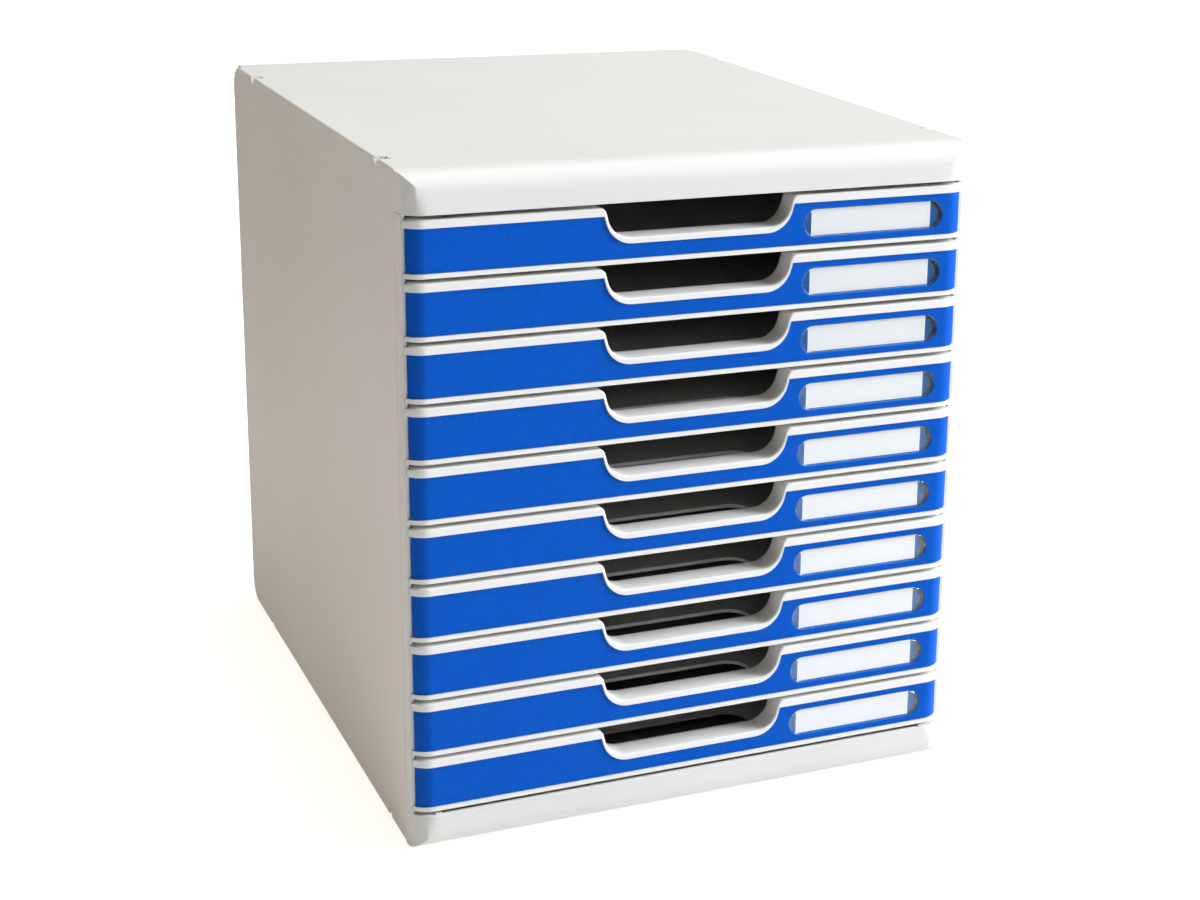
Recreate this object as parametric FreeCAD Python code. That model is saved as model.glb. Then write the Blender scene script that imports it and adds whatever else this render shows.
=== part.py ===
import FreeCAD, Part
import math
import os

from FreeCAD import Vector

# Desktop unit with ten shallow drawers for A4 sheets, in millimetres.
# +Z is up and the drawers open towards -Y.
# The origin is on the ground, under the middle of the unit.

os.makedirs("parts", exist_ok=True)

# Casing
unit_width = 288.0
unit_depth = 356.0
side_wall = 3.0
top_wall = 3.0
back_wall = 2.5
back_inset = 1.0
foot_stand = 1.0
cap_lip_height = 19.2
base_lip_height = 18.1
lip_depth = 13.0
lip_wall = 2.5
cap_bullnose = 11.0
base_bullnose = 10.0
corner_radius = 12.0
rear_corner_radius = 13.0
casing_edge_round = 1.1
lip_edge_round = 0.3
rear_edge_round = 1.5
side_front_round = 1.0
cap_groove_depth = 0.5
cap_groove_width = 5.0
cap_groove_from_front = 9.3
flange_height = 8.0
flange_wall = 2.5
side_front_inset = 6.5
side_groove_width = 0.7
side_groove_depth = 0.5
clip_radius = 3.2
clip_from_front = 42.0
clip_from_back = 53.0
clip_nib_radius = 1.6
clip_recess_length = 8.0
clip_recess_width = 3.0
clip_recess_depth = 0.8
back_notch_height = 20.0
back_notch_radius = 2.0
nib_length = 3.0
nib_height = 0.7
nib_from_side = 12.7

# Feet
foot_radius = 8.0
foot_seat_depth = 1.0
foot_from_side = 22.0
foot_from_end = 30.0

# Drawer fronts
drawer_count = 10
face_height = 20.8
top_rim = 3.9
bottom_rim = 2.2
drawer_gap = 2.1
base_gap = 1.7
rim_setback = 1.0
face_setback = 0.7
face_thickness = 2.2
front_wall = 3.2
front_box_depth = 13.0
inner_wall = 2.8
front_top_wall = 1.6
front_flange_end = 6.0
front_corner_radius = 11.0
rim_round = 0.9
rim_low_round = 0.4
box_edge_round = 0.5
face_edge_round = 0.3
face_gap = 0.15

# Finger dip in the middle of each front
dip_half_front = 47.9
dip_half_inner = 48.4
dip_depth = 14.5
dip_slant = 15.0
dip_low_radius = 13.5
dip_top_radius = 3.2
dip_wall = 1.8
dip_side_rim = 1.4
dip_low_rim = 2.9
face_dip_radius = 14.0

# Label: a window over a paper card, let into the coloured face
window_from_side = 14.1
window_length = 76.0
window_height = 14.0
window_thickness = 1.3
window_proud = 0.2
window_chamfer = 0.45
window_clearance = 0.15
label_recess_depth = 1.4
card_length = 65.0
card_height = 12.4
card_from_window_end = 4.3
card_thickness = 0.25

# Drawer trays
tray_wall = 1.6
tray_floor = 1.8
side_below_runner = 2.7
tray_side_clearance = 0.8
tray_back_gap = 8.0
tray_corner_radius = 6.0
tray_edge_round = 0.4
floor_below_face = 1.0
floor_hole_half = 47.5
floor_hole_near = 5.0
floor_hole_length = 32.0
floor_hole_radius = 11.0

# Runners, stops and travel
runner_width = 7.0
runner_thickness = 2.2
runner_clearance = 0.3
runner_front_gap = 2.0
runner_back_gap = 6.0
stop_from_front = 89.9
stop_length = 4.0
stop_clearance = 0.6
lug_length = 4.0
lug_height = 1.7

# Worked out from the sizes above
half_width = unit_width / 2
front = -unit_depth / 2
back = unit_depth / 2
pitch = bottom_rim + face_height + top_rim + drawer_gap
casing_bottom = foot_stand
lowest_face = casing_bottom + base_lip_height + base_gap + bottom_rim
rim_top_above_face = face_height + top_rim
cap_bottom = lowest_face + (drawer_count - 1) * pitch + rim_top_above_face + drawer_gap
casing_top = cap_bottom + cap_lip_height
inner_half = half_width - side_wall
rim_front = front + rim_setback
face_front = rim_front + face_setback
face_back = face_front + face_thickness
box_back = rim_front + front_box_depth
tray_half = inner_half - tray_side_clearance
tray_back = back - back_inset - back_wall - tray_back_gap
lip_back = front + lip_depth
corner_centre = half_width - front_corner_radius
window_left = half_width - window_from_side - window_length
card_left = window_left + card_from_window_end
dip_lean = math.tan(math.radians(dip_slant))
face_dip_half = dip_half_front - top_rim * dip_lean + dip_side_rim
face_dip_depth = dip_depth - top_rim + dip_low_rim
floor_top_level = -floor_below_face
floor_bottom_level = floor_top_level - tray_floor
runner_top_level = floor_bottom_level - runner_clearance
next_runner_level = runner_top_level - runner_thickness + pitch
tray_side_level = next_runner_level - side_below_runner
stop_front = front + stop_from_front
stop_back = stop_front + stop_length
lug_front = tray_back - tray_corner_radius - lug_length
drawer_travel = lug_front - stop_back - stop_clearance
overrun = 1.0
least_straight = 0.1
touching = 0.01
same_point = 1e-6


def plan(u, v, level):
    """A point of a plan outline, seen from above."""
    return Vector(u, v, level)


def elevation(u, v, level):
    """A point of an outline seen from the front."""
    return Vector(u, level, v)


def profile(u, v, level):
    """A point of an outline seen from the side."""
    return Vector(level, u, v)


def rounded_wire(corners, view, level):
    """A closed wire through corners (u, v, radius), each rounded by its own radius."""
    ends = []
    for index, (u, v, radius) in enumerate(corners):
        before = corners[index - 1]
        after = corners[(index + 1) % len(corners)]
        to_before = Vector(before[0] - u, before[1] - v, 0).normalize()
        to_after = Vector(after[0] - u, after[1] - v, 0).normalize()
        corner = Vector(u, v, 0)
        if radius <= 0:
            ends.append((corner, None, corner))
            continue
        half_angle = to_before.getAngle(to_after) / 2
        reach = radius / math.tan(half_angle)
        inward = (to_before + to_after).normalize()
        middle = corner + inward * (radius / math.sin(half_angle) - radius)
        ends.append((corner + to_before * reach, middle, corner + to_after * reach))
    edges = []
    for index, (start, middle, end) in enumerate(ends):
        next_start = ends[(index + 1) % len(ends)][0]
        if middle is not None:
            points = [view(p.x, p.y, level) for p in (start, middle, end)]
            edges.append(Part.Arc(*points).toShape())
        if (next_start - end).Length > same_point:
            edges.append(Part.makeLine(view(end.x, end.y, level), view(next_start.x, next_start.y, level)))
    return Part.Wire(edges)


def rounded_solid(corners, view, low, high):
    """The rounded outline carried straight from one level to another."""
    face = Part.Face(rounded_wire(corners, view, low))
    return face.extrude(view(0, 0, high) - view(0, 0, low))


def block(x_low, x_high, y_low, y_high, z_low, z_high):
    """A plain box between two corners."""
    return Part.makeBox(x_high - x_low, y_high - y_low, z_high - z_low, Vector(x_low, y_low, z_low))


def cross_cylinder(radius, x_low, x_high, y, z):
    """A round bar along X."""
    return Part.makeCylinder(radius, x_high - x_low, Vector(x_low, y, z), Vector(1, 0, 0))


def mirrored(shape):
    """The same shape on the other side of the unit."""
    return shape.mirror(Vector(0, 0, 0), Vector(1, 0, 0))


def both_sides(shapes):
    """Each shape and its mirror image."""
    return shapes + [mirrored(shape) for shape in shapes]


def save(shape, node):
    """Write one sub-part, after a check that it is sound."""
    if not shape.isValid():
        print("not valid:", node)
    shape.exportStep("parts/" + node + ".step")
    print(node, "solids", len(shape.Solids), "volume", round(shape.Volume, 1))


def is_level(edge, z):
    """Whether an edge lies at one height."""
    box = edge.BoundBox
    return abs(box.ZMin - z) < touching and abs(box.ZMax - z) < touching


def is_across(edge, y):
    """Whether an edge lies in one upright plane across the unit."""
    box = edge.BoundBox
    return abs(box.YMin - y) < touching and abs(box.YMax - y) < touching


def corner_arcs(shape, radius, z):
    """Level arcs of one radius, such as the edges of the front corners."""
    arcs = [edge for edge in shape.Edges if is_level(edge, z) and isinstance(edge.Curve, Part.Circle)]
    return [edge for edge in arcs if abs(edge.Curve.Radius - radius) < touching]


def edges_along(shape, y, z):
    """Edges that run across the unit at one depth and height."""
    return [edge for edge in shape.Edges if is_across(edge, y) and is_level(edge, z)]


def face_level(number):
    """Height of the lower edge of a coloured face; drawer 1 is the top one."""
    return lowest_face + (drawer_count - number) * pitch


def clip_places():
    """Distances along the unit at which the side panels are clipped on."""
    return [front + clip_from_front, back - clip_from_back]


def side_panel():
    """The left side panel, with its clip notches."""
    outline = [
        (lip_back, casing_bottom, 0),
        (back, casing_bottom, rear_corner_radius),
        (back, casing_top, rear_corner_radius),
        (lip_back, casing_top, 0),
        (lip_back, cap_bottom, 0),
        (front + side_front_inset, cap_bottom, 0),
        (front + side_front_inset, casing_bottom + base_lip_height, 0),
        (lip_back, casing_bottom + base_lip_height, 0),
    ]
    panel = rounded_solid(outline, profile, -half_width, -inner_half)
    outer = [
        edge
        for edge in panel.Edges
        if edge.BoundBox.XMax < touching - half_width and edge.BoundBox.YMax > lip_back + touching
    ]
    panel = panel.makeFillet(casing_edge_round, outer)
    groove = block(
        -half_width - overrun,
        -half_width + side_groove_depth,
        lip_back - side_groove_width,
        lip_back,
        casing_bottom + base_lip_height - overrun,
        cap_bottom + overrun,
    )
    cuts = [groove]
    outside = -half_width - overrun
    inside = -inner_half + overrun
    for y in clip_places():
        cuts.append(cross_cylinder(clip_radius, outside, inside, y, casing_top))
        cuts.append(cross_cylinder(clip_radius, outside, inside, y, casing_bottom))
    for z in (casing_bottom + back_notch_height, casing_top - back_notch_height):
        cuts.append(cross_cylinder(back_notch_radius, outside, inside, back, z))
    panel = panel.cut(cuts)
    front_edges = [
        edge
        for edge in panel.Edges
        if is_across(edge, front + side_front_inset) and edge.BoundBox.XMax < touching - half_width
    ]
    return panel.makeFillet(min(side_front_round, side_wall / 2), front_edges)


def runners():
    """The bars inside the left side panel that carry the trays, each with the stop for the tray below it."""
    runner_front = box_back + runner_front_gap
    runner_back = back - back_inset - back_wall - runner_back_gap
    runner_end = -inner_half + runner_width
    stop_end = -inner_half + tray_side_clearance + tray_wall
    solids = []
    for number in range(1, drawer_count + 1):
        level = face_level(number)
        high = level + runner_top_level
        low = high - runner_thickness
        solids.append(block(-inner_half, runner_end, runner_front, runner_back, low, high))
        stop_low = level + tray_side_level + stop_clearance
        stop_high = level + next_runner_level
        solids.append(block(-inner_half, stop_end, stop_front, stop_back, stop_low, stop_high))
    return Part.makeCompound(solids)


def lip(bottom, top, bullnose, bullnose_on_top):
    """A hollow front lip across the unit, round at one long edge and at both corners."""
    radius = min(bullnose, lip_depth - lip_wall / 2)
    high_radius = radius if bullnose_on_top else 0
    low_radius = 0 if bullnose_on_top else radius
    section = [
        (front, bottom, low_radius),
        (front, top, high_radius),
        (lip_back, top, 0),
        (lip_back, bottom, 0),
    ]
    bar = rounded_solid(section, profile, -half_width, half_width)
    outline_back = max(lip_back, front + corner_radius + overrun)
    outline = [
        (-half_width, front, corner_radius),
        (half_width, front, corner_radius),
        (half_width, outline_back, 0),
        (-half_width, outline_back, 0),
    ]
    bar = bar.common(rounded_solid(outline, plan, bottom, top))
    pocket_half = half_width - corner_radius
    pocket = block(-pocket_half, pocket_half, front + lip_wall, lip_back - lip_wall, bottom, top)
    if bullnose_on_top:
        keep = block(-half_width, half_width, front, lip_back, top - radius, top)
    else:
        keep = block(-half_width, half_width, front, lip_back, bottom, bottom + radius)
    return bar.cut(pocket.cut(keep))


def plate_with_flanges(plate_low, plate_high, flange_low, flange_high):
    """The top or bottom plate, with a flange along each side that the side panels bear on."""
    plate = block(-inner_half, inner_half, lip_back, back, plate_low, plate_high)
    rear = back - back_inset - back_wall
    flange = block(-inner_half, -inner_half + flange_wall, lip_back, rear, flange_low, flange_high)
    return plate.fuse(both_sides([flange])).removeSplitter()


def clip_holes(level):
    """Round holes behind the clip notches, each with a nib left standing in it."""
    holes = []
    outside = -inner_half - overrun
    inside = -inner_half + flange_wall + overrun
    for y in clip_places():
        hole = cross_cylinder(clip_radius, outside, inside, y, level)
        nib = cross_cylinder(clip_nib_radius, outside, inside, y, level)
        holes.append(hole.cut(nib))
    return both_sides(holes)


def rounded_casing_edges(body, lip_level, rear_level):
    """Round the lip's edge beside the drawers and the plate's outer edge at the back."""
    lip_edges = edges_along(body, front, lip_level) + corner_arcs(body, corner_radius, lip_level)
    body = body.makeFillet(min(lip_edge_round, lip_wall / 3), lip_edges)
    return body.makeFillet(min(rear_edge_round, top_wall / 2), edges_along(body, back, rear_level))


def top_cap():
    """The top plate with its rounded front lip."""
    plate_low = casing_top - top_wall
    body = plate_with_flanges(plate_low, casing_top, plate_low - flange_height, plate_low)
    body = body.fuse(lip(cap_bottom, casing_top, cap_bullnose, True)).removeSplitter()
    groove_radius = cap_groove_width**2 / (8 * cap_groove_depth) + cap_groove_depth / 2
    groove_y = front + cap_groove_from_front
    groove_z = casing_top + groove_radius - cap_groove_depth
    cuts = [cross_cylinder(groove_radius, -half_width - overrun, half_width + overrun, groove_y, groove_z)]
    for y in clip_places():
        recess = [
            (-inner_half, y - clip_recess_length / 2, 0),
            (-inner_half + clip_recess_width, y, 0),
            (-inner_half, y + clip_recess_length / 2, 0),
        ]
        low = casing_top - clip_recess_depth
        cuts += both_sides([rounded_solid(recess, plan, low, casing_top + overrun)])
    return rounded_casing_edges(body.cut(cuts + clip_holes(casing_top)), cap_bottom, casing_top)


def base():
    """The bottom plate with its front lip, the seats for the feet and two small nibs."""
    plate_high = casing_bottom + top_wall
    body = plate_with_flanges(casing_bottom, plate_high, plate_high, plate_high + flange_height)
    lip_top = casing_bottom + base_lip_height
    body = body.fuse(lip(casing_bottom, lip_top, base_bullnose, False)).removeSplitter()
    nib_x = -half_width + nib_from_side
    nib = block(
        nib_x - nib_length / 2,
        nib_x + nib_length / 2,
        front + rim_setback,
        front + lip_wall,
        lip_top,
        lip_top + nib_height,
    )
    body = body.fuse(both_sides([nib]))
    body = body.cut([foot(x, y) for x, y in foot_places()] + clip_holes(casing_bottom))
    return rounded_casing_edges(body, lip_top, casing_bottom)


def foot_places():
    """Centres of the four feet."""
    x = half_width - foot_from_side
    y_front = front + foot_from_end
    y_back = back - foot_from_end
    return [(-x, y_front), (x, y_front), (-x, y_back), (x, y_back)]


def foot(x, y):
    """One round pad, let into the base."""
    return Part.makeCylinder(foot_radius, foot_stand + foot_seat_depth, Vector(x, y, 0))


def back_panel():
    """The plate that closes the back, between the side panels and the top and bottom plates."""
    y_high = back - back_inset
    return block(
        -inner_half,
        inner_half,
        y_high - back_wall,
        y_high,
        casing_bottom + top_wall,
        casing_top - top_wall,
    )


def front_outline(inset, end):
    """The plan of a drawer front, set back from the rim's outer surface by inset."""
    radius = front_corner_radius - inset
    edge = corner_centre + radius
    return [
        (-edge, rim_front + inset, radius),
        (edge, rim_front + inset, radius),
        (edge, end, 0),
        (-edge, end, 0),
    ]


def dip_outline(half, depth, low_radius, top_radius, top):
    """The finger dip seen from the front, with leaning sides, open upwards from the level top."""
    high = min(top_radius, depth / 4)
    low = min(low_radius, depth - high - least_straight)
    low_half = half - depth * dip_lean
    outer = half + top_radius + overrun
    return [
        (-outer, top + overrun, 0),
        (-outer, top, 0),
        (-half, top, high),
        (-low_half, top - depth, low),
        (low_half, top - depth, low),
        (half, top, high),
        (outer, top, 0),
        (outer, top + overrun, 0),
    ]


def dip_cut(top):
    """The finger dip through the front box, from the rim to the inner wall."""
    slope = (dip_half_inner - dip_half_front) / front_box_depth
    before = dip_half_front - slope * overrun
    after = dip_half_inner + slope * overrun
    near_outline = dip_outline(before, dip_depth, dip_low_radius, dip_top_radius, top)
    far_outline = dip_outline(after, dip_depth, dip_low_radius, dip_top_radius, top)
    near = rounded_wire(near_outline, elevation, rim_front - overrun)
    far = rounded_wire(far_outline, elevation, box_back + overrun)
    return Part.makeLoft([near, far], True, True)


def face_seat(level, gap=0):
    """The room in front of the front wall for the coloured plate, or less by a gap all round."""
    top = level + face_height
    behind = front_outline(face_setback + face_thickness, rim_front + front_corner_radius + overrun)
    behind_solid = rounded_solid(behind, plan, level - overrun, top + overrun)
    dip = dip_outline(face_dip_half + gap, face_dip_depth + gap, face_dip_radius, 0, top)
    dip_solid = rounded_solid(dip, elevation, front - 2 * overrun, face_back + overrun)
    end = front + front_flange_end - gap
    reach = block(-half_width, half_width, front - overrun, end, level + gap, top - gap)
    return reach.cut([behind_solid, dip_solid])


def face_plate(level):
    """The coloured plate that wraps round both front corners, with the dip in its upper edge."""
    outline = front_outline(face_setback, rim_front + front_corner_radius + overrun)
    return face_seat(level, face_gap).common(rounded_solid(outline, plan, level, level + face_height))


def stadium(left, length, height, middle, y_low, y_high):
    """A long plate with round ends, seen from the front."""
    radius = height / 2
    corners = [
        (left, middle - height / 2, radius),
        (left + length, middle - height / 2, radius),
        (left + length, middle + height / 2, radius),
        (left, middle + height / 2, radius),
    ]
    return rounded_solid(corners, elevation, y_low, y_high)


def coloured_face(level):
    """The coloured plate, with the recess that holds the label."""
    middle = level + face_height / 2
    floor = face_front + label_recess_depth
    recess = stadium(window_left, window_length, window_height, middle, front - overrun, floor)
    plate = face_plate(level)
    low = level + face_gap
    high = level + face_height - face_gap
    outer = [
        edge
        for edge in plate.Edges
        if is_across(edge, face_front) and edge.BoundBox.ZLength < high - low - touching
    ]
    for z in (low, high):
        outer += corner_arcs(plate, front_corner_radius - face_setback, z)
    body = plate.makeFillet(face_edge_round, outer).cut(recess)
    around = [
        edge
        for edge in body.Edges
        if is_across(edge, face_front) and edge.BoundBox.XMin > window_left - touching
    ]
    around = [edge for edge in around if edge.BoundBox.XMax < window_left + window_length + touching]
    return body.makeFillet(face_edge_round, around)


def label_window(level):
    """The clear cover of the label, with a chamfer all round its outer edge."""
    middle = level + face_height / 2
    y_low = face_front - window_proud
    c = window_clearance
    body = stadium(
        window_left + c,
        window_length - 2 * c,
        window_height - 2 * c,
        middle,
        y_low,
        y_low + window_thickness,
    )
    rim = [edge for edge in body.Edges if edge.BoundBox.YMax < y_low + touching]
    return body.makeChamfer(window_chamfer, rim)


def label_card(level):
    """The paper card behind the window."""
    middle = level + face_height / 2
    y_high = face_front + label_recess_depth
    return block(
        card_left,
        card_left + card_length,
        y_high - card_thickness,
        y_high,
        middle - card_height / 2,
        middle + card_height / 2,
    )


def tray(level):
    """The one-piece drawer moulding: front box, dip, floor, sides, back and stop lugs."""
    low = level - bottom_rim
    high = level + rim_top_above_face
    floor_top = level + floor_top_level
    side_top = level + tray_side_level
    wide = rounded_solid(front_outline(0, rim_front + front_corner_radius + overrun), plan, low, high)
    wide = wide.common(block(-half_width, half_width, front, front + front_flange_end, low, high))
    narrow = block(-tray_half, tray_half, front + front_flange_end, box_back, low, high)
    shell_corners = [
        (-tray_half, box_back - inner_wall, 0),
        (tray_half, box_back - inner_wall, 0),
        (tray_half, tray_back, tray_corner_radius),
        (-tray_half, tray_back, tray_corner_radius),
    ]
    shell = rounded_solid(shell_corners, plan, level + floor_bottom_level, side_top)
    lug = block(
        -tray_half,
        -tray_half + tray_wall,
        lug_front,
        lug_front + lug_length,
        side_top,
        side_top + lug_height,
    )
    body = wide.fuse([narrow, shell] + both_sides([lug]))
    inside = tray_half - tray_wall
    inside_corners = [
        (-inside, box_back, 0),
        (inside, box_back, 0),
        (inside, tray_back - tray_wall, tray_corner_radius - tray_wall),
        (-inside, tray_back - tray_wall, tray_corner_radius - tray_wall),
    ]
    hollow = rounded_solid(inside_corners, plan, floor_top, high + overrun)
    hole_front = box_back + floor_hole_near
    hole_back = hole_front + floor_hole_length
    hole_corners = [
        (-floor_hole_half, hole_front, floor_hole_radius),
        (floor_hole_half, hole_front, floor_hole_radius),
        (floor_hole_half, hole_back, floor_hole_radius),
        (-floor_hole_half, hole_back, floor_hole_radius),
    ]
    hole = rounded_solid(hole_corners, plan, level + floor_bottom_level - overrun, floor_top + overrun)
    cuts = [hollow, hole, dip_cut(high), face_seat(level)]
    body = body.cut(cuts + front_cavity(low, high)).removeSplitter()
    return rounded_tray(body, low, high, side_top)


def dip_edges(shape, y):
    """The curved edges of the finger dip at one depth."""
    return [edge for edge in shape.Edges if is_across(edge, y) and isinstance(edge.Curve, Part.BSplineCurve)]


def rounded_tray(body, low, high, side_top):
    """Round the edges that a hand meets: the rim, the dip, the front box and the tray's walls."""
    upper = dip_edges(body, rim_front) + edges_along(body, rim_front, high)
    body = body.makeFillet(rim_round, upper + corner_arcs(body, front_corner_radius, high))
    lower = edges_along(body, rim_front, low) + corner_arcs(body, front_corner_radius, low)
    body = body.makeFillet(rim_low_round, lower)
    rear = dip_edges(body, box_back) + edges_along(body, box_back, high)
    body = body.makeFillet(min(box_edge_round, inner_wall / 3), rear)
    shortest = tray_wall + touching
    wall_edges = [
        edge
        for edge in body.Edges
        if is_level(edge, side_top) and max(edge.BoundBox.XLength, edge.BoundBox.YLength) > shortest
    ]
    return body.makeFillet(min(tray_edge_round, tray_wall / 4), wall_edges)


def front_cavity(low, high):
    """The hollow behind the front wall, open downwards and kept clear of the dip's own wall."""
    inset = face_setback + face_thickness + front_wall
    start = rim_front + inset
    end = box_back - inner_wall
    side = corner_centre + front_corner_radius - inset
    radius = min(front_corner_radius - inset, end - start - least_straight)
    plan_corners = [(-side, start, radius), (side, start, radius), (side, end, 0), (-side, end, 0)]
    under_dip = high - dip_depth - dip_wall
    bottom = low - overrun
    strip = rounded_solid(plan_corners, plan, bottom, under_dip)
    full = rounded_solid(plan_corners, plan, bottom, high - front_top_wall)
    reach = max(dip_half_front, dip_half_inner) + dip_top_radius + dip_wall
    beside = full.common(block(-side, -reach, front, end, bottom, high))
    return [strip] + both_sides([beside])


def build():
    """Make and save every sub-part."""
    left = side_panel()
    save(left, "left_side_panel")
    save(mirrored(left), "right_side_panel")
    save(runners(), "left_runners")
    save(mirrored(runners()), "right_runners")
    save(top_cap(), "top_cap")
    save(base(), "base")
    save(back_panel(), "back_panel")
    save(Part.makeCompound([foot(x, y) for x, y in foot_places()]), "anti_slip_feet")
    for number in range(1, drawer_count + 1):
        level = face_level(number)
        name = "drawer_%02d_" % number
        save(tray(level), name + "tray")
        save(coloured_face(level), name + "face")
        save(label_window(level), name + "label_window")
        save(label_card(level), name + "label_card")
    print("height", round(casing_top, 2), "pitch", round(pitch, 2), "travel", round(drawer_travel, 2))


build()
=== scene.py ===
import math

import bmesh
import bpy
from mathutils import Matrix, Vector


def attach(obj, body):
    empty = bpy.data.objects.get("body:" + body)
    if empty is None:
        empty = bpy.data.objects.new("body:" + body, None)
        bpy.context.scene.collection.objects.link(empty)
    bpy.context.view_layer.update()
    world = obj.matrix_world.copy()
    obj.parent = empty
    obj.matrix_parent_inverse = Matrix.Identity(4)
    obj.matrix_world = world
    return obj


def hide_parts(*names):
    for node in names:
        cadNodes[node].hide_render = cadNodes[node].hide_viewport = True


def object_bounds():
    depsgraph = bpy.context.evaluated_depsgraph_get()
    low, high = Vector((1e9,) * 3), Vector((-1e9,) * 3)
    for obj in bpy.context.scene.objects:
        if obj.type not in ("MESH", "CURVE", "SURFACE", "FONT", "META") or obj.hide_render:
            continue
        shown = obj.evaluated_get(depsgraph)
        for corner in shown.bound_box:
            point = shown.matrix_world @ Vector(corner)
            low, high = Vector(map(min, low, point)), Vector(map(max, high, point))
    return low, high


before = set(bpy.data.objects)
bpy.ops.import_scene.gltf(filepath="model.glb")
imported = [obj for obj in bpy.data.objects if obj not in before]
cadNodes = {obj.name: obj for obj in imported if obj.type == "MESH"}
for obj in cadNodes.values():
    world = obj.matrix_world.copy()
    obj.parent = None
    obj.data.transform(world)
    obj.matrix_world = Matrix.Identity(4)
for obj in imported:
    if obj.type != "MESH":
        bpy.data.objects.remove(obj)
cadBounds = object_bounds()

mm = 0.001
drawerCount = 10
casingNodes = ["left_side_panel", "right_side_panel", "left_runners", "right_runners",
               "top_cap", "base", "back_panel"]


# Shader helpers

def startMaterial(name, baseColour, roughness, specular):
    material = bpy.data.materials.new(name)
    material.use_nodes = True
    tree = material.node_tree
    shader = tree.nodes["Principled BSDF"]
    shader.inputs["Base Color"].default_value = (*baseColour, 1.0)
    shader.inputs["Roughness"].default_value = roughness
    shader.inputs["Specular IOR Level"].default_value = specular
    material.diffuse_color = (*baseColour, 1.0)
    return material, tree, shader


def addNode(tree, kind, inputs=None, **settings):
    node = tree.nodes.new(kind)
    for key, value in settings.items():
        setattr(node, key, value)
    for key, value in (inputs or {}).items():
        if isinstance(value, bpy.types.NodeSocket):
            tree.links.new(value, node.inputs[key])
        else:
            node.inputs[key].default_value = value
    return node


def objectPoint(tree):
    return addNode(tree, "ShaderNodeTexCoord").outputs["Object"]


def noiseValue(tree, point, scale, detail=2.0, roughness=0.5):
    values = {"Vector": point, "Scale": scale, "Detail": detail, "Roughness": roughness}
    return addNode(tree, "ShaderNodeTexNoise", values).outputs["Fac"]


def remap(tree, value, fromLow, fromHigh, toLow, toHigh):
    values = {"Value": value, "From Min": fromLow, "From Max": fromHigh,
              "To Min": toLow, "To Max": toHigh}
    return addNode(tree, "ShaderNodeMapRange", values).outputs["Result"]


def calculate(tree, operation, first, second):
    return addNode(tree, "ShaderNodeMath", {0: first, 1: second}, operation=operation).outputs[0]


def mixColour(tree, factor, first, second, blend="MIX"):
    node = addNode(tree, "ShaderNodeMix", data_type="RGBA", blend_type=blend)
    for index, value in ((0, factor), (6, first), (7, second)):
        if isinstance(value, bpy.types.NodeSocket):
            tree.links.new(value, node.inputs[index])
        elif index == 0:
            node.inputs[index].default_value = value
        else:
            node.inputs[index].default_value = (*value, 1.0)
    return node.outputs[2]


def addBump(tree, shader, height, strength, distance):
    values = {"Height": height, "Strength": strength, "Distance": distance}
    bump = addNode(tree, "ShaderNodeBump", values)
    tree.links.new(bump.outputs["Normal"], shader.inputs["Normal"])


def scaled(colour, factor):
    return tuple(min(1.0, channel * factor) for channel in colour)


# Finishes

casingFinish = {
    "colour": (0.79, 0.775, 0.745),
    "roughness": 0.5,
    "specular": 0.3,
    "cloudSize": 0.09,       # metres between light and dark clouds
    "cloudDepth": 0.03,
    "grainSize": 0.0007,     # eroded grain of the mould
    "grainHeight": 0.00003,
    "grainStrength": 0.5,
    "grainShade": 0.95,
    "scuffSize": 0.011,
    "scuffDepth": 0.10,
    "scuffColour": (0.42, 0.38, 0.33),
    "sinkLevels": (0.0185, 0.3085),      # faint painted shade lines along the side panels, at shallow sink marks
    "sinkHalf": 0.0012,
    "sinkPaintedShade": 0.045,
    "sinkPaintedShadeColour": (0.3, 0.29, 0.27),
    "sideSurface": 0.1436,
}


def makeCasingPlastic(finish):
    material, tree, shader = startMaterial(
        "casingPlastic", finish["colour"], finish["roughness"], finish["specular"])
    point = objectPoint(tree)
    cloud = noiseValue(tree, point, 1 / finish["cloudSize"], 3.0)
    grain = noiseValue(tree, point, 1 / finish["grainSize"], 3.0, 0.65)
    darker = scaled(finish["colour"], 1 - finish["cloudDepth"])
    lighter = scaled(finish["colour"], 1 + finish["cloudDepth"] / 2)
    colour = mixColour(tree, remap(tree, cloud, 0.3, 0.7, 0.0, 1.0), darker, lighter)
    speck = remap(tree, grain, 0.35, 0.65, 0.0, 0.35)
    colour = mixColour(tree, speck, colour, scaled(finish["colour"], finish["grainShade"]))
    scuff = noiseValue(tree, point, 1 / finish["scuffSize"], 5.0, 0.7)
    scuffed = remap(tree, scuff, 0.70, 0.78, 0.0, finish["scuffDepth"])
    colour = mixColour(tree, scuffed, colour, finish["scuffColour"])
    place = addNode(tree, "ShaderNodeSeparateXYZ", {"Vector": point}).outputs
    outward = calculate(tree, "ABSOLUTE", place["X"], 0.0)
    onSide = calculate(tree, "GREATER_THAN", outward, finish["sideSurface"])
    # painted shade: each sink level gets a faint darker line on the side panels
    for level in finish["sinkLevels"]:
        away = calculate(tree, "ABSOLUTE", calculate(tree, "SUBTRACT", place["Z"], level), 0.0)
        faded = remap(tree, away, 0.0, finish["sinkHalf"], finish["sinkPaintedShade"], 0.0)
        sinkShadeLine = calculate(tree, "MULTIPLY", faded, onSide)
        colour = mixColour(tree, sinkShadeLine, colour, finish["sinkPaintedShadeColour"])
    tree.links.new(colour, shader.inputs["Base Color"])
    sheen = remap(tree, grain, 0.3, 0.7, finish["roughness"] - 0.05, finish["roughness"] + 0.07)
    tree.links.new(sheen, shader.inputs["Roughness"])
    addBump(tree, shader, grain, finish["grainStrength"], finish["grainHeight"])
    return material


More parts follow.
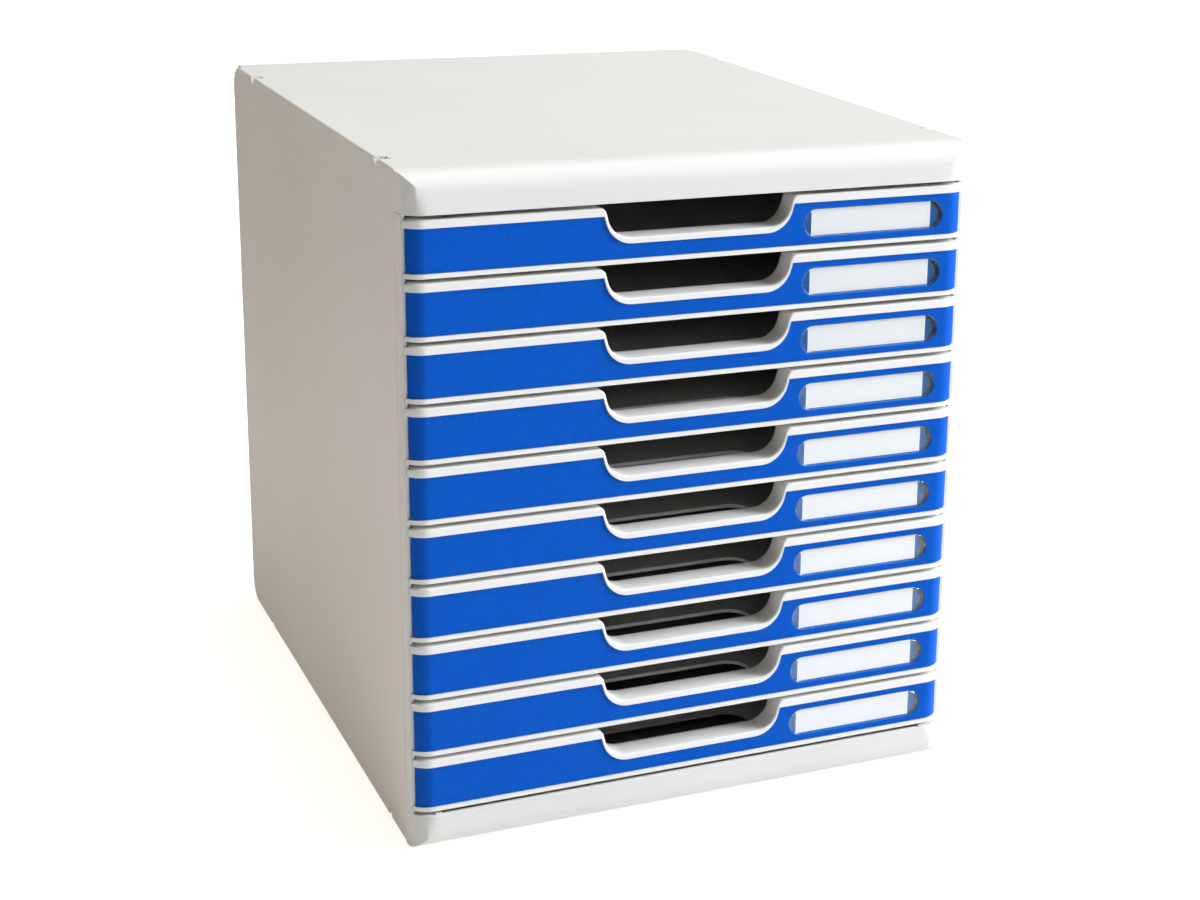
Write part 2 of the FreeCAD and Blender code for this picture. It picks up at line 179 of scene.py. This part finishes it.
trayFinish = {
    "colour": (0.86, 0.85, 0.82),
    "roughness": 0.42,
    "specular": 0.35,
    "cloudSize": 0.05,
    "grainSize": 0.0005,
    "grainHeight": 0.000015,
    "grainStrength": 0.4,
    "grainShade": 0.94,
    "insideStart": -165.0 * mm,    # behind this the moulding is painted darker, as painted shade inside the drawer
    "insideFade": 6.0 * mm,
    "paintedInsideShade": 0.62,
}


def makeTrayPlastic(finish):
    material, tree, shader = startMaterial(
        "trayPlastic", finish["colour"], finish["roughness"], finish["specular"])
    point = objectPoint(tree)
    cloud = noiseValue(tree, point, 1 / finish["cloudSize"], 2.0)
    grain = noiseValue(tree, point, 1 / finish["grainSize"], 3.0, 0.6)
    colour = mixColour(tree, cloud, scaled(finish["colour"], 0.975), scaled(finish["colour"], 1.01))
    speck = remap(tree, grain, 0.4, 0.7, 0.0, 0.25)
    colour = mixColour(tree, speck, colour, scaled(finish["colour"], finish["grainShade"]))
    along = addNode(tree, "ShaderNodeSeparateXYZ", {"Vector": point}).outputs["Y"]
    start = finish["insideStart"]
    # painted shade: behind insideStart the tray colour fades darker, standing in for the shade inside
    # the drawer
    paintedShadeFactor = remap(tree, along, start, start + finish["insideFade"], 1.0, finish["paintedInsideShade"])
    colour = mixColour(tree, 1.0, colour, paintedShadeFactor, "MULTIPLY")
    tree.links.new(colour, shader.inputs["Base Color"])
    addBump(tree, shader, grain, finish["grainStrength"], finish["grainHeight"])
    return material


faceFinish = {
    "colour": (0.0004, 0.118, 0.62),
    "pitShadeColour": (0.0002, 0.085, 0.5),
    "glintHighlightColour": (0.01, 0.24, 0.78),
    "roughness": 0.46,
    "specular": 0.07,
    "cellSize": 0.00085,      # leather-like cells of the grain
    "cellHeight": 0.00006,
    "cellStrength": 0.6,
    "waveSize": 0.004,
    "glintPatchSize": 0.02,        # areas of painted highlight specks on the grain
}


def makeFacePlastic(finish):
    material, tree, shader = startMaterial(
        "facePlastic", finish["colour"], finish["roughness"], finish["specular"])
    point = objectPoint(tree)
    wave = noiseValue(tree, point, 1 / finish["waveSize"], 2.0)
    warped = addNode(tree, "ShaderNodeVectorMath", {0: point}, operation="ADD")
    shift = addNode(tree, "ShaderNodeTexNoise",
                    {"Vector": point, "Scale": 0.7 / finish["cellSize"], "Detail": 1.0})
    push = addNode(tree, "ShaderNodeVectorMath", {0: shift.outputs["Color"]}, operation="SCALE")
    push.inputs["Scale"].default_value = finish["cellSize"] * 0.6
    tree.links.new(push.outputs[0], warped.inputs[1])
    cells = addNode(tree, "ShaderNodeTexVoronoi",
                    {"Vector": warped.outputs[0], "Scale": 1 / finish["cellSize"]},
                    feature="DISTANCE_TO_EDGE")
    crease = remap(tree, cells.outputs["Distance"], 0.0, 0.32, 0.0, 1.0)
    height = calculate(tree, "MULTIPLY", crease, remap(tree, wave, 0.3, 0.7, 0.55, 1.0))
    # painted shade: the creases between grain cells are coloured darker, and the wave below adds a
    # random darker tone
    colour = mixColour(tree, height, finish["pitShadeColour"], finish["colour"])
    colour = mixColour(tree, remap(tree, wave, 0.3, 0.7, 0.0, 0.12), colour, finish["pitShadeColour"])
    # painted highlight: lighter specks in patches, where the grain would catch the light
    glintPatch = remap(tree, noiseValue(tree, point, 1 / finish["glintPatchSize"], 2.0), 0.5, 0.66, 0.0, 1.0)
    fine = noiseValue(tree, point, 1.6 / finish["cellSize"], 2.0, 0.6)
    speck = calculate(tree, "MULTIPLY", remap(tree, fine, 0.6, 0.72, 0.0, 0.55), glintPatch)
    colour = mixColour(tree, speck, colour, finish["glintHighlightColour"])
    tree.links.new(colour, shader.inputs["Base Color"])
    addBump(tree, shader, height, finish["cellStrength"], finish["cellHeight"])
    return material


edgeGlossAndPaintedLightFinish = {
    # lighter than the face colour: painted highlight along the rounded edges
    "colour": (0.004, 0.17, 0.72),
    "roughness": 0.16,
    "specular": 0.6,
    "streakSize": 0.003,
    "streakHeight": 0.00002,
    "streakStrength": 0.2,
    "recessStart": -175.6 * mm,    # the label recess lies behind this; its floor is painted darker, as painted shade
    "recessPaintedShade": (0.003, 0.13, 0.40),
}


def makeGlossyEdgePaintedLight(finish):
    material, tree, shader = startMaterial(
        "faceEdgeGlossPaintedLight", finish["colour"], finish["roughness"], finish["specular"])
    streak = noiseValue(tree, objectPoint(tree), 1 / finish["streakSize"], 2.0)
    # painted highlight: the edges take a lighter blue than the face, besides their glossier finish
    colour = mixColour(tree, streak, scaled(finish["colour"], 0.9), scaled(finish["colour"], 1.05))
    along = addNode(tree, "ShaderNodeSeparateXYZ", {"Vector": objectPoint(tree)}).outputs["Y"]
    # painted shade: faces behind recessStart take the darker recess colour
    inRecessShade = calculate(tree, "GREATER_THAN", along, finish["recessStart"])
    colour = mixColour(tree, inRecessShade, colour, finish["recessPaintedShade"])
    tree.links.new(colour, shader.inputs["Base Color"])
    gloss = remap(tree, streak, 0.3, 0.7, finish["roughness"] - 0.04, finish["roughness"] + 0.06)
    tree.links.new(gloss, shader.inputs["Roughness"])
    addBump(tree, shader, streak, finish["streakStrength"], finish["streakHeight"])
    return material


cardFinish = {
    "colour": (0.872, 0.88, 0.885),
    "endHighlightColour": (0.95, 0.95, 0.94),
    "roughness": 0.8,
    "specular": 0.1,
    "fibreSize": 0.0012,
    "fibreHeight": 0.00002,
    "fibreStrength": 0.2,
    "fibreStretch": (0.35, 1.0, 1.0),
    "middle": 90.7 * mm,          # of the card's length
    "half": 31.9 * mm,            # of the length that keeps the plain colour; beyond it each end carries a painted highlight
}


def makeCardPaper(finish):
    material, tree, shader = startMaterial(
        "cardPaper", finish["colour"], finish["roughness"], finish["specular"])
    point = objectPoint(tree)
    stretched = addNode(tree, "ShaderNodeMapping", {"Vector": point, "Scale": finish["fibreStretch"]})
    fibre = noiseValue(tree, stretched.outputs["Vector"], 1 / finish["fibreSize"], 4.0, 0.7)
    shade = remap(tree, fibre, 0.3, 0.7, 0.0, 1.0)
    colour = mixColour(tree, shade, scaled(finish["colour"], 0.965), scaled(finish["colour"], 1.01))
    across = addNode(tree, "ShaderNodeSeparateXYZ", {"Vector": point}).outputs["X"]
    fromMiddle = calculate(tree, "ABSOLUTE", calculate(tree, "SUBTRACT", across, finish["middle"]), 0.0)
    # painted highlight: both ends of the card are coloured brighter
    endHighlightMask = calculate(tree, "GREATER_THAN", fromMiddle, finish["half"])
    colour = mixColour(tree, endHighlightMask, colour, finish["endHighlightColour"])
    tree.links.new(colour, shader.inputs["Base Color"])
    addBump(tree, shader, fibre, finish["fibreStrength"], finish["fibreHeight"])
    return material


windowFinish = {
    "tint": (0.982, 0.986, 0.986),
    "roughness": 0.03,
    "specular": 0.5,
    "index": 1.49,
    "flowSize": 0.02,
    "flowHeight": 0.0004,
    "flowStrength": 0.15,
}


def makeClearPlastic(finish):
    material, tree, shader = startMaterial(
        "clearPlastic", finish["tint"], finish["roughness"], finish["specular"])
    shader.inputs["Transmission Weight"].default_value = 1.0
    shader.inputs["IOR"].default_value = finish["index"]
    point = objectPoint(tree)
    flow = noiseValue(tree, point, 1 / finish["flowSize"], 1.0)
    tint = mixColour(tree, flow, finish["tint"], scaled(finish["tint"], 1.01))
    tree.links.new(tint, shader.inputs["Base Color"])
    addBump(tree, shader, flow, finish["flowStrength"], finish["flowHeight"])
    rays = addNode(tree, "ShaderNodeLightPath").outputs
    through = addNode(tree, "ShaderNodeBsdfTransparent", {"Color": (*finish["tint"], 1.0)}).outputs[0]
    surface = shader.outputs[0]
    for ray in ("Is Shadow Ray", "Is Diffuse Ray"):       # lamplight reaches the card behind
        surface = addNode(tree, "ShaderNodeMixShader", {0: rays[ray], 1: surface, 2: through}).outputs[0]
    tree.links.new(surface, tree.nodes["Material Output"].inputs["Surface"])
    return material


shadeCrescentFinish = {
    "colour": (0.012, 0.010, 0.010),
    "roughness": 0.2,
    "specular": 0.5,
    "paintedGlintColour": (0.16, 0.12, 0.10),
    "paintedGlintSize": 0.0016,
}


# a dark crescent sheet: painted shade at the window's right end, with painted glints
def makeShadeCrescentMaterial(finish):
    material, tree, shader = startMaterial(
        "paintedShadeCrescent", finish["colour"], finish["roughness"], finish["specular"])
    # painted reflection: scattered brighter glints on the dark crescent
    paintedGlint = noiseValue(tree, objectPoint(tree), 1 / finish["paintedGlintSize"], 3.0, 0.7)
    bright = remap(tree, paintedGlint, 0.56, 0.7, 0.0, 1.0)
    colour = mixColour(tree, bright, finish["colour"], finish["paintedGlintColour"])
    tree.links.new(colour, shader.inputs["Base Color"])
    return material


footFinish = {
    "colour": (0.045, 0.045, 0.048),
    "roughness": 0.75,
    "specular": 0.3,
    "grainSize": 0.0006,
    "grainHeight": 0.00003,
    "grainStrength": 0.5,
}


def makeFootRubber(finish):
    material, tree, shader = startMaterial(
        "footRubber", finish["colour"], finish["roughness"], finish["specular"])
    point = objectPoint(tree)
    grain = noiseValue(tree, point, 1 / finish["grainSize"], 3.0, 0.6)
    colour = mixColour(tree, grain, scaled(finish["colour"], 0.8), scaled(finish["colour"], 1.3))
    tree.links.new(colour, shader.inputs["Base Color"])
    addBump(tree, shader, grain, finish["grainStrength"], finish["grainHeight"])
    return material


materials = {
    "casing": makeCasingPlastic(casingFinish),
    "tray": makeTrayPlastic(trayFinish),
    "face": makeFacePlastic(faceFinish),
    "edge": makeGlossyEdgePaintedLight(edgeGlossAndPaintedLightFinish),
    "card": makeCardPaper(cardFinish),
    "window": makeClearPlastic(windowFinish),
    "foot": makeFootRubber(footFinish),
    "slot": makeShadeCrescentMaterial(shadeCrescentFinish),
}
print("materials made:", ", ".join(materials))


# Mouldings, each a merged and smoothly shaded copy of the CAD shape

moulding = {
    "mergeDistance": 0.002 * mm,
    "flatAngle": 0.4,          # degrees, below which neighbouring faces become one
    "sharpAngle": 32.0,        # degrees, above which an edge stays sharp
    "normalWeight": 80,
}


def smoothCopy(node, pieceName):
    mesh = cadNodes[node].data.copy()
    mesh.name = pieceName
    mesh.materials.clear()
    shape = bmesh.new()
    shape.from_mesh(mesh)
    bmesh.ops.remove_doubles(shape, verts=shape.verts, dist=moulding["mergeDistance"])
    bmesh.ops.dissolve_limit(shape, angle_limit=math.radians(moulding["flatAngle"]),
                             verts=shape.verts, edges=shape.edges)
    shape.to_mesh(mesh)
    shape.free()
    for layer in list(mesh.uv_layers):
        mesh.uv_layers.remove(layer)
    if mesh.has_custom_normals:
        mesh.attributes.remove(mesh.attributes["custom_normal"])
    mesh.shade_smooth()
    mesh.set_sharp_from_angle(angle=math.radians(moulding["sharpAngle"]))
    piece = bpy.data.objects.new(pieceName, mesh)
    bpy.context.scene.collection.objects.link(piece)
    weighted = piece.modifiers.new("even normals", "WEIGHTED_NORMAL")
    weighted.keep_sharp = True
    weighted.weight = moulding["normalWeight"]
    return piece


coloured = {
    "frontLevel": -176.3 * mm,
    "cornerCentre": 133.0 * mm,
    "grainDepth": 0.35 * mm,       # behind the front surface, deeper faces are smooth
    "edgeLean": 0.08,
}


# puts the rounded edges of the face, with their painted highlight, and the sunk recess faces, with their
# painted shade, on the edge material
def assignPaintedLightEdges(piece):
    piece.data.materials.append(materials["edge"])
    for polygon in piece.data.polygons:
        normal, centre = polygon.normal, polygon.center
        onCorner = abs(centre.x) > coloured["cornerCentre"]
        endways = abs(normal.x) > coloured["edgeLean"] and not onCorner
        sideways = abs(normal.z) > coloured["edgeLean"] or endways
        sunk = centre.y > coloured["frontLevel"] + coloured["grainDepth"] and not onCorner
        if sideways or sunk:
            polygon.material_index = 1


def mount(piece, node, body, material):
    piece.data.materials.append(material)
    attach(piece, body)
    if node is not None:
        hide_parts(node)
    return piece


def camel(node):
    first, *rest = node.split("_")
    return first + "".join(word.capitalize() for word in rest)


for node in casingNodes:
    mount(smoothCopy(node, camel(node)), node, "casing", materials["casing"])
feet = smoothCopy("anti_slip_feet", "antiSlipFeet")
mount(feet, "anti_slip_feet", "casing", materials["foot"])
print("casing made:", len(casingNodes) + 1, "pieces")

drawerParts = (
    # node, slot, finish
    ("tray", "tray_plastic", "tray"),
    ("face", "face_plastic", "face"),
    ("label_window", "clear_plastic", "window"),
    ("label_card", "label_card", "card"),
)

for number in range(1, drawerCount + 1):
    body = "drawer_%02d" % number
    for part, slotName, finishName in drawerParts:
        node = body + "_" + part
        piece = mount(smoothCopy(node, camel(node)), node, body, materials[finishName])
        if part == "face":
            assignPaintedLightEdges(piece)
print("drawers made:", drawerCount)


# Ends of the label recess: upright ridges beside the card, and a dark crescent sheet at the right end,
# painted shade with painted glints standing in for the shade there

labelEnds = {
    "ridgeStep": 0.75 * mm,
    "ridgeWidth": 0.34 * mm,
    "ridgeDepth": 0.36 * mm,
    "ridgeMargin": 0.5 * mm,       # between a ridge and the recess's round end
    "fromWindowEnd": 1.0 * mm,
    "fromCard": 0.6 * mm,
    "floorBehindWindow": 0.3 * mm,
    "crescentWidth": 1.9 * mm,
    "crescentThickness": 0.16 * mm,
    "crescentInset": 0.35 * mm,
    "crescentReach": 84.0,             # degrees up and down from the middle
    "crescentTaper": 0.7,
    "crescentSteps": 28,
    "barSides": 12,
}


def extent(node):
    points = [vertex.co for vertex in cadNodes[node].data.vertices]
    low = Vector(min(point[axis] for point in points) for axis in range(3))
    high = Vector(max(point[axis] for point in points) for axis in range(3))
    return low, high


def makeRidgeTree():
    tree = bpy.data.node_groups.new("labelRidges", "GeometryNodeTree")
    sockets = {
        "Row Start": "Float",
        "Row Step": "Float",
        "Row Count": "Int",
        "Row End": "Float",
        "End Radius": "Float",
        "Ridge Width": "Float",
        "Ridge Depth": "Float",
        "Ridge Margin": "Float",
        "Surface": "Float",
        "Level": "Float",
        "Finish": "Material",
    }
    tree.interface.new_socket("Geometry", in_out="OUTPUT", socket_type="NodeSocketGeometry")
    for name, kind in sockets.items():
        tree.interface.new_socket(name, in_out="INPUT", socket_type="NodeSocket" + kind)
    given = tree.nodes.new("NodeGroupInput").outputs
    start = addNode(tree, "ShaderNodeCombineXYZ", {"X": given["Row Start"]}).outputs[0]
    step = addNode(tree, "ShaderNodeCombineXYZ", {"X": given["Row Step"]}).outputs[0]
    row = addNode(tree, "GeometryNodeMeshLine",
                  {"Count": given["Row Count"], "Start Location": start, "Offset": step},
                  mode="OFFSET").outputs[0]
    bar = addNode(tree, "GeometryNodeMeshCylinder",
                  {"Vertices": labelEnds["barSides"], "Radius": 0.5, "Depth": 1.0}).outputs[0]
    across = addNode(tree, "ShaderNodeSeparateXYZ",
                     {0: addNode(tree, "GeometryNodeInputPosition").outputs[0]}).outputs["X"]
    fromEnd = calculate(tree, "ABSOLUTE", calculate(tree, "SUBTRACT", across, given["Row End"]), 0.0)
    inward = calculate(tree, "SUBTRACT", given["End Radius"], fromEnd)
    fromCentre = calculate(tree, "MAXIMUM", inward, 0.0)
    radiusSquare = calculate(tree, "POWER", given["End Radius"], 2.0)
    squares = calculate(tree, "SUBTRACT", radiusSquare, calculate(tree, "POWER", fromCentre, 2.0))
    half = calculate(tree, "SUBTRACT", calculate(tree, "SQRT", squares, 0.0), given["Ridge Margin"])
    height = calculate(tree, "MULTIPLY", half, 2.0)
    size = addNode(tree, "ShaderNodeCombineXYZ",
                   {"X": given["Ridge Width"], "Y": given["Ridge Depth"], "Z": height}).outputs[0]
    bars = addNode(tree, "GeometryNodeInstanceOnPoints",
                   {"Points": row, "Instance": bar, "Scale": size}).outputs[0]
    place = addNode(tree, "ShaderNodeCombineXYZ",
                    {"Y": given["Surface"], "Z": given["Level"]}).outputs[0]
    moved = addNode(tree, "GeometryNodeTransform", {"Geometry": bars, "Translation": place}).outputs[0]
    real = addNode(tree, "GeometryNodeRealizeInstances", {"Geometry": moved}).outputs[0]
    smooth = addNode(tree, "GeometryNodeSetShadeSmooth", {"Geometry": real}).outputs[0]
    finished = addNode(tree, "GeometryNodeSetMaterial",
                       {"Geometry": smooth, "Material": given["Finish"]}).outputs[0]
    addNode(tree, "NodeGroupOutput", {0: finished})
    return tree


def grownMesh(tree, values, name):
    carrier = bpy.data.objects.new(name, bpy.data.meshes.new(name + "Start"))
    bpy.context.scene.collection.objects.link(carrier)
    modifier = carrier.modifiers.new("nodes", "NODES")
    modifier.node_group = tree
    for item in tree.interface.items_tree:
        if item.in_out == "INPUT":
            modifier[item.identifier] = values[item.name]
    evaluated = carrier.evaluated_get(bpy.context.evaluated_depsgraph_get())
    mesh = bpy.data.meshes.new_from_object(evaluated)
    carrier.modifiers.remove(modifier)
    bpy.data.objects.remove(carrier)
    return mesh


def newPiece(name, mesh):
    mesh.name = name
    piece = bpy.data.objects.new(name, mesh)
    bpy.context.scene.collection.objects.link(piece)
    return piece


def makeRidges(body, side, tree):
    windowLow, windowHigh = extent(body + "_label_window")
    cardLow, cardHigh = extent(body + "_label_card")
    facing = 1.0 if side == "Left" else -1.0
    end, cardEnd = (windowLow.x, cardLow.x) if side == "Left" else (windowHigh.x, cardHigh.x)
    crescentRoom = labelEnds["crescentWidth"] + labelEnds["crescentInset"]
    clear = labelEnds["fromWindowEnd"] if side == "Left" else crescentRoom
    span = abs(cardEnd - end) - clear - labelEnds["fromCard"]
    values = {
        "Row Start": end + facing * clear,
        "Row Step": facing * labelEnds["ridgeStep"],
        "Row Count": 1 + int(span / labelEnds["ridgeStep"]),
        "Row End": end,
        "End Radius": (windowHigh.z - windowLow.z) / 2,
        "Ridge Width": labelEnds["ridgeWidth"],
        "Ridge Depth": labelEnds["ridgeDepth"],
        "Ridge Margin": labelEnds["ridgeMargin"],
        "Surface": windowHigh.y + labelEnds["floorBehindWindow"],
        "Level": (windowLow.z + windowHigh.z) / 2,
        "Finish": materials["edge"],
    }
    return newPiece(camel(body) + "Ridges" + side, grownMesh(tree, values, "ridges"))


# builds the dark crescent sheet of painted shade behind the window's right end
def makeShadeCrescent(body):
    low, high = extent(body + "_label_window")
    radius = (high.z - low.z) / 2 - labelEnds["crescentInset"]
    middle = Vector((high.x - radius - labelEnds["crescentInset"], 0.0, (low.z + high.z) / 2))
    back = high.y + labelEnds["floorBehindWindow"]
    steps = labelEnds["crescentSteps"]
    shape = bmesh.new()
    rows = []
    for step in range(steps + 1):
        turn = math.radians(labelEnds["crescentReach"] * (2 * step / steps - 1))
        thick = labelEnds["crescentWidth"] * math.cos(turn) ** labelEnds["crescentTaper"]
        corners = []
        for reach in (radius, radius - thick):
            across, upward = reach * math.cos(turn), reach * math.sin(turn)
            for y in (back, back - labelEnds["crescentThickness"]):
                corners.append(shape.verts.new((middle.x + across, y, middle.z + upward)))
        rows.append(corners)
    for before, after in zip(rows, rows[1:]):
        for first, second in ((0, 1), (1, 3), (3, 2), (2, 0)):
            shape.faces.new((before[first], before[second], after[second], after[first]))
    for row in (rows[0], rows[-1]):
        shape.faces.new((row[0], row[1], row[3], row[2]))
    bmesh.ops.recalc_face_normals(shape, faces=shape.faces)
    mesh = bpy.data.meshes.new(camel(body) + "LabelShadeCrescent")
    shape.to_mesh(mesh)
    shape.free()
    return newPiece(camel(body) + "LabelShadeCrescent", mesh)


ridgeTree = makeRidgeTree()
for number in range(1, drawerCount + 1):
    body = "drawer_%02d" % number
    for side in ("Left", "Right"):
        ridges = makeRidges(body, side, ridgeTree)
        ridges.data.materials.clear()
        # the ridges take the edge material, so they carry the recess's painted shade
        mount(ridges, None, body, materials["edge"])
    # the dark crescent sheet stands in for the shade at the window's right end
    mount(makeShadeCrescent(body), None, body, materials["slot"])
print("label ends made:", drawerCount)


# Floor, lamps, camera

studio = {
    "floorColour": (0.8, 0.8, 0.8),
    "underLight": (0.266, 0.252, 0.225),     # the table is lit from below
    "tableReach": 0.55,            # metres from the middle that glossy surfaces see as white
    "tableFade": 0.6,
    "mirroredFloor": 0.12,
    "floorGlow": 0.45,
    "floorHalf": 6.0,
    "backdropColour": (1.0, 1.0, 1.0),
}


def makeFloor():
    half = studio["floorHalf"]
    mesh = bpy.data.meshes.new("studioFloor")
    level = cadBounds[0].z
    corners = [(-half, -half, level), (half, -half, level), (half, half, level), (-half, half, level)]
    mesh.from_pydata(corners, [], [(0, 1, 2, 3)])
    floor = bpy.data.objects.new("studioFloor", mesh)
    bpy.context.scene.collection.objects.link(floor)
    material = bpy.data.materials.new("studioFloor")
    material.use_nodes = True
    tree = material.node_tree
    tree.nodes.remove(tree.nodes["Principled BSDF"])
    rays = addNode(tree, "ShaderNodeLightPath").outputs
    length = addNode(tree, "ShaderNodeVectorMath", {0: objectPoint(tree)}, operation="LENGTH")
    distance = length.outputs["Value"]
    near, far = studio["tableReach"], studio["tableReach"] + studio["tableFade"]
    mirrored = remap(tree, distance, near, far, 1.0, studio["mirroredFloor"])
    share = remap(tree, rays["Is Glossy Ray"], 0.0, 1.0, 1.0, mirrored)
    colour = mixColour(tree, 1.0, studio["floorColour"], share, "MULTIPLY")
    matt = addNode(tree, "ShaderNodeBsdfDiffuse", {"Color": colour})
    lit = mixColour(tree, 1.0, studio["underLight"], share, "MULTIPLY")
    seen = calculate(tree, "MULTIPLY", rays["Is Camera Ray"], studio["floorGlow"])
    glow = addNode(tree, "ShaderNodeEmission", {"Color": mixColour(tree, 1.0, lit, seen, "ADD")})
    both = addNode(tree, "ShaderNodeAddShader", {0: matt.outputs[0], 1: glow.outputs[0]})
    tree.links.new(both.outputs[0], tree.nodes["Material Output"].inputs["Surface"])
    mesh.materials.append(material)


def makeWorld():
    world = bpy.data.worlds.new("studioWorld")
    bpy.context.scene.world = world
    world.use_nodes = True
    tree = world.node_tree
    background = tree.nodes["Background"]
    paths = addNode(tree, "ShaderNodeLightPath").outputs
    background.inputs["Color"].default_value = (*studio["backdropColour"], 1.0)
    seen = calculate(tree, "MAXIMUM", paths["Is Camera Ray"], paths["Is Transmission Ray"])
    tree.links.new(seen, background.inputs["Strength"])


lamps = {
    # name: place, aimed at, width, height, watts, colour
    "rightPanel": ((4.2, -1.4, 2.0), (0.0, -0.1, 0.16), 2.0, 1.8, 370.0, (0.86, 0.91, 1.0)),
    "rightHigh": ((3.0, -2.2, 3.4), (0.0, -0.1, 0.16), 2.0, 1.8, 52.0, (1.0, 0.98, 0.95)),
    "topPanel": ((0.3, 0.2, 4.3), (0.0, 0.0, 0.3), 2.2, 2.2, 88.0, (0.98, 1.0, 0.93)),
    "leftRear": ((-2.6, 2.2, 1.6), (-0.144, 0.1, 0.16), 2.0, 1.6, 27.0, (1.0, 0.76, 0.6)),
}


def makeLamps():
    for name, (place, target, width, height, watts, colour) in lamps.items():
        data = bpy.data.lights.new(name, "AREA")
        data.shape = "RECTANGLE"
        data.size = width
        data.size_y = height
        data.energy = watts
        data.color = colour
        lamp = bpy.data.objects.new(name, data)
        bpy.context.scene.collection.objects.link(lamp)
        lamp.location = place
        lamp.rotation_euler = (Vector(target) - Vector(place)).to_track_quat("-Z", "Y").to_euler()


photoCamera = {
    "place": (-0.3948, -1.0835, 0.5089),
    "turn": 24.97,          # degrees to the right of straight ahead
    "tilt": 15.35,          # degrees downwards
    "roll": 1.39,
    "focalPixels": 2155.6,
    "middle": (751.3, 350.0),
    "imageSize": (1200, 900),
    "sensor": 36.0,         # millimetres
    "clipRange": (0.05, 50.0),
}


def makeCamera():
    data = bpy.data.cameras.new("photoCamera")
    wide, high = photoCamera["imageSize"]
    data.sensor_width = photoCamera["sensor"]
    data.lens = photoCamera["focalPixels"] / wide * photoCamera["sensor"]
    data.shift_x = (wide / 2 - photoCamera["middle"][0]) / wide
    data.shift_y = (photoCamera["middle"][1] - high / 2) / wide
    data.clip_start, data.clip_end = photoCamera["clipRange"]
    camera = bpy.data.objects.new("photoCamera", data)
    bpy.context.scene.collection.objects.link(camera)
    turn = Matrix.Rotation(math.radians(-photoCamera["turn"]), 3, "Z")
    tilt = Matrix.Rotation(math.radians(90 - photoCamera["tilt"]), 3, "X")
    roll = Matrix.Rotation(math.radians(photoCamera["roll"]), 3, "Z")
    camera.rotation_euler = (turn @ tilt @ roll).to_euler()
    camera.location = photoCamera["place"]
    bpy.context.scene.camera = camera


makeFloor()
makeWorld()
makeLamps()
makeCamera()
bpy.context.scene.view_settings.view_transform = "Standard"
print("studio made:", len(lamps), "lamps")
